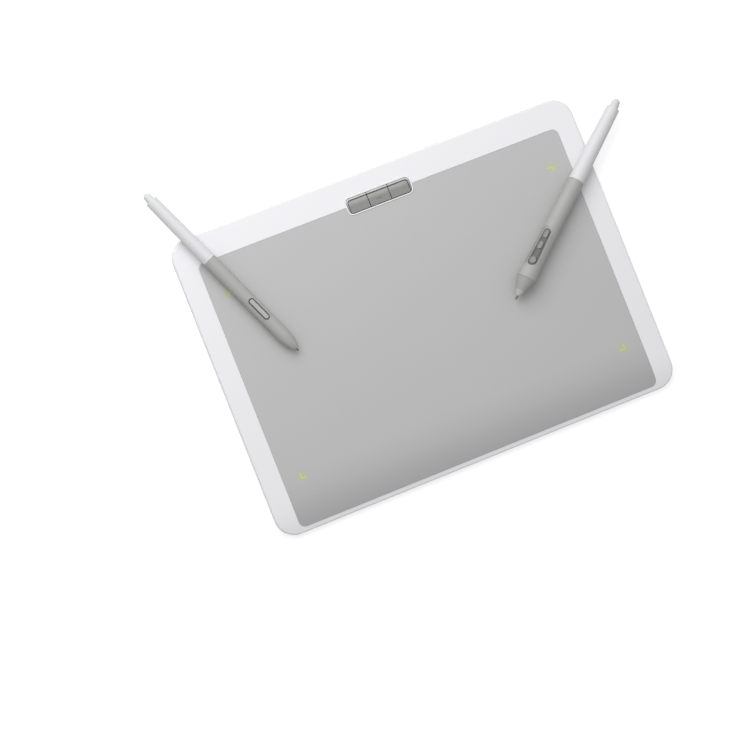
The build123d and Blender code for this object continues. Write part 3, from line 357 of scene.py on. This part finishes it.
# Plastics: colour, roughness, drift in tone and specular level
plastics = {
    "white_shell": ("e3e3e6", 0.45, 0.006, 0.35),
    "component_black": ("26272a", 0.5, 0.03, 0.5),
    "frame_plastic": ("7e7f82", 0.5, 0.03, 0.5),
    "cable_film": ("b98440", 0.35, 0.03, 0.5),
    "slider_grey": ("d6d6d9", 0.4, 0.015, 0.5),
    "pen_grey": ("a3a3a1", 0.55, 0.015, 0.5),
    "pen_white": ("d2d2d4", 0.5, 0.008, 0.5),
    "pen_cone_grey": ("9a9a98", 0.45, 0.015, 0.5),
    "pen_sleeve_grey": ("b3b3b1", 0.45, 0.015, 0.5),
    "pen_dark": ("55565a", 0.5, 0.03, 0.5),
    "pen_button_grey": ("7c7c7a", 0.4, 0.015, 0.5),
    "pen_light_grey": ("a8a8a5", 0.45, 0.015, 0.5),
    "nib_plastic": ("606161", 0.4, 0.03, 0.5),
    "eraser_plastic": ("cdd0cf", 0.6, 0.01, 0.5),
    "ferrite": ("3a3a3d", 0.6, 0.03, 0.5),
    "sensor_dark": ("333438", 0.5, 0.03, 0.5),
}

for slot, (code, roughness) in metals.items():
    slots[slot] = metal(slot, srgb(code), roughness)
for slot, (code, roughness, tone, specular) in plastics.items():
    slots[slot] = moulded_plastic(slot, srgb(code), roughness, tone, specular)

# Pieces whose finish differs a little from the rest of their slot
finishes = {
    "thick_pen_button_inlay": moulded_plastic("inlay_grey", srgb("585858"), roughness=0.45, tone=0.03),
}


# The frame's own pieces

def smooth(mesh):
    """Smooth shading within the curved faces, with the real edges kept crisp."""
    mesh.polygons.foreach_set("use_smooth", [True] * len(mesh.polygons))
    mesh.set_sharp_from_angle(angle=math.radians(sharp_angle))


def dress_nodes():
    """Each node takes its slot's finish."""
    slot_of = {part["node"]: part["material_slot"] for part in frame["record"]["subparts"]}
    for name, piece in nodes.items():
        piece.data.materials.clear()
        piece.data.materials.append(finishes.get(name, slots[slot_of[name]]))
        smooth(piece.data)


# Stage

def seen_directly(tree):
    """1 for what shows, straight or in gloss or through glass, and 0 for light that falls on things."""
    rays = tree.nodes.new("ShaderNodeLightPath").outputs
    seen = maths(tree, "MAXIMUM", rays["Is Camera Ray"], rays["Is Glossy Ray"])
    return maths(tree, "MAXIMUM", seen, rays["Is Transmission Ray"])


def floor():
    """Pale floor that shows nearly white to the camera and keeps the shadow."""
    mesh = bpy.data.meshes.new("floor")
    half = floor_size / 2
    corners = [(x, y, floor_drop) for x, y in ((-half, -half), (half, -half), (half, half), (-half, half))]
    mesh.from_pydata(corners, [], [(0, 1, 2, 3)])
    piece = bpy.data.objects.new("floor", mesh)
    bpy.context.scene.collection.objects.link(piece)
    material, tree, shader = new_material("floor_white")
    shader.inputs["Base Color"].default_value = floor_colour
    shader.inputs["Roughness"].default_value = floor_roughness
    shader.inputs["Specular IOR Level"].default_value = floor_specular
    lift = tree.nodes.new("ShaderNodeEmission")
    plug(tree, lift.inputs["Strength"], maths(tree, "MULTIPLY", seen_directly(tree), floor_lift))
    both = tree.nodes.new("ShaderNodeAddShader")
    plug(tree, both.inputs[0], shader.outputs["BSDF"])
    plug(tree, both.inputs[1], lift.outputs["Emission"])
    plug(tree, tree.nodes["Material Output"].inputs["Surface"], both.outputs["Shader"])
    mesh.materials.append(material)


def key_lamp():
    """Rectangular soft lamp that faces the tablet."""
    data = bpy.data.lights.new("key_lamp", "AREA")
    data.shape = "RECTANGLE"
    data.size, data.size_y = key_lamp_size
    data.energy = key_lamp_power
    piece = bpy.data.objects.new("key_lamp", data)
    piece.location = key_lamp_place
    piece.rotation_euler = (lamp_aim - key_lamp_place).to_track_quat("-Z", "Y").to_euler()
    bpy.context.scene.collection.objects.link(piece)


def room():
    """White room, brighter on the lamp's side and overhead, that shows plain white behind the floor."""
    world = bpy.data.worlds.new("studio")
    world.use_nodes = True
    tree = world.node_tree
    way = place_in(tree, "Generated")
    lean = vector_maths(tree, "DOT_PRODUCT", way, room_side.normalized())
    height = parts_of(tree, way)[2]
    by_height = spread(tree, height, room_level, room_level + room_overhead, 0.0, 1.0)
    by_side = spread(tree, lean, 1.0 - room_lean, 1.0 + room_lean, -1.0, 1.0)
    light = maths(tree, "MULTIPLY", by_height, by_side)
    background = tree.nodes["Background"]
    background.inputs["Color"].default_value = white
    strength = mixed(tree, seen_directly(tree), light, backdrop_level, kind="FLOAT")
    plug(tree, background.inputs["Strength"], strength)
    bpy.context.scene.world = world


def camera():
    data = bpy.data.cameras.new("camera")
    data.sensor_width = camera_sensor
    data.lens = camera_lens
    piece = bpy.data.objects.new("camera", data)
    forward = camera_forward.normalized()
    right = forward.cross(camera_up).normalized()
    up = right.cross(forward)
    turn = Matrix((right, up, -forward)).transposed()
    piece.matrix_world = Matrix.Translation(camera_place) @ turn.to_4x4()
    bpy.context.scene.collection.objects.link(piece)
    bpy.context.scene.camera = piece


dress_nodes()
floor()
key_lamp()
room()
camera()
bpy.context.scene.view_settings.view_transform = "Standard"
